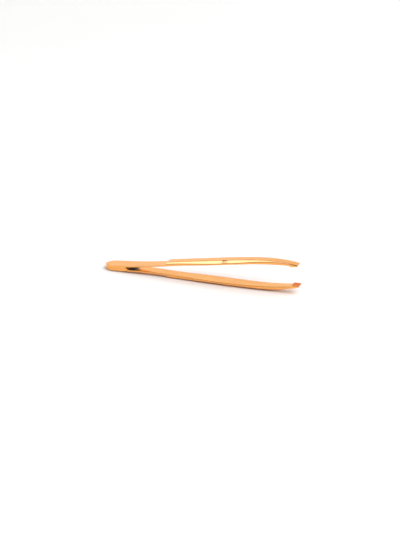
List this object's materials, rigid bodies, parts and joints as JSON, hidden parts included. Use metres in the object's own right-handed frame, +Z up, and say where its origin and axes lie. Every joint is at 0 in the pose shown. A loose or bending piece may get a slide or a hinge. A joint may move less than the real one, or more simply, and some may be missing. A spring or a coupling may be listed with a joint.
{
  "type": "stamp tongs",
  "caption": "Sprung metal tongs with a rounded brazed head, thin leaf-spring necks, faceted bowed grips and square-cut tips with raised inner lands for holding a stamp.",
  "frame": {"origin": "on the surface the tongs lie on, under the middle of their bounding box", "axes": "+X from the closed head towards the tips, +Y across the blades, +Z up, from the lower blade to the upper one"},
  "size_m": [0.1002, 0.0074, 0.0161],
  "materials": {
    "plated_blade": "polished gold-coloured plating over spring steel",
    "head_wedge": "gold-coloured plating over steel, ground flush with the blades"
  },
  "bodies": {
    "head": {"head_spacer": "head_wedge", "upper_heel": "plated_blade", "lower_heel": "plated_blade"},
    "upper_blade": {"upper_blade": "plated_blade"},
    "lower_blade": {"lower_blade": "plated_blade"}
  },
  "joints": [
    {"name": "upper_flex", "type": "hinge", "parent": "head", "child": "upper_blade", "pos_m": [-0.02812, 0, 0.00475], "axis": [0, 1, 0], "range_deg": [0, 3.65], "stiffness_Nm_per_rad": 2.6},
    {"name": "lower_flex", "type": "hinge", "parent": "head", "child": "lower_blade", "pos_m": [-0.02786, 0, 0.00166], "axis": [0, -1, 0], "range_deg": [0, 3.65], "stiffness_Nm_per_rad": 2.6}
  ]
}
